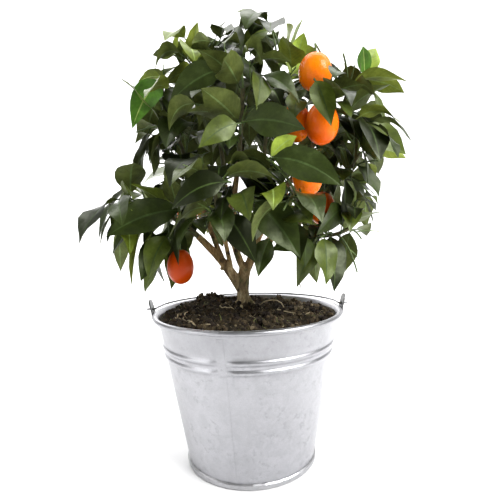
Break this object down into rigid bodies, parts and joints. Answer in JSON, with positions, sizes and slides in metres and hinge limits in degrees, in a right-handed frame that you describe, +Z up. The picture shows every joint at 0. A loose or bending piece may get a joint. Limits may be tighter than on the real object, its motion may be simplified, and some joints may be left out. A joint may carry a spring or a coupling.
{
  "type": "potted calamondin orange tree",
  "caption": "Young calamondin orange tree with a dense glossy crown and ripe oval fruit, growing in a galvanised bucket with a wire bail folded down on its rim.",
  "frame": {"origin": "centre of the bucket's flat base, on the ground", "axes": "+Z up along the bucket's axis; +X to the right of the pictured front, through the bail's right ear; the pictured front faces -Y"},
  "size_m": [0.325, 0.2632, 0.4606],
  "materials": {
    "zinc": "galvanised, satin with a soft zinc bloom",
    "wire": "galvanised wire, dull",
    "soil": "moist, crumbly",
    "bark": "rough, fissured lengthways",
    "foliage": "glossy leaves, paler beneath, with orange fruit"
  },
  "bodies": {
    "tree": {"bucket": "zinc", "base_hoop": "zinc", "right_ear": "zinc", "left_ear": "zinc", "right_front_rivet": "zinc", "left_front_rivet": "zinc", "right_back_rivet": "zinc", "left_back_rivet": "zinc", "soil": "soil", "trunk": "bark", "left_bough": "bark", "centre_left_bough": "bark", "centre_right_bough": "bark", "upper_left_bough": "bark", "front_left_bough": "bark", "right_bough": "bark", "front_right_bough": "bark", "low_right_bough": "bark", "upper_right_bough": "bark", "front_upper_bough": "bark", "back_left_bough": "bark", "back_right_bough": "bark", "back_upper_bough": "bark", "lower_left_foliage": "foliage", "upper_left_foliage": "foliage", "top_left_foliage": "foliage", "top_foliage": "foliage", "upper_right_foliage": "foliage", "right_foliage": "foliage", "lower_right_foliage": "foliage", "front_right_foliage": "foliage", "front_left_foliage": "foliage", "front_upper_foliage": "foliage", "back_left_foliage": "foliage", "back_right_foliage": "foliage", "back_upper_foliage": "foliage"},
    "bail": {"bail": "wire"}
  },
  "joints": [
    {"name": "bail_hinge", "type": "hinge", "parent": "tree", "child": "bail", "pos_m": [0, 0, 0.1596], "axis": [1, 0, 0], "range_deg": [0, 35]}
  ]
}
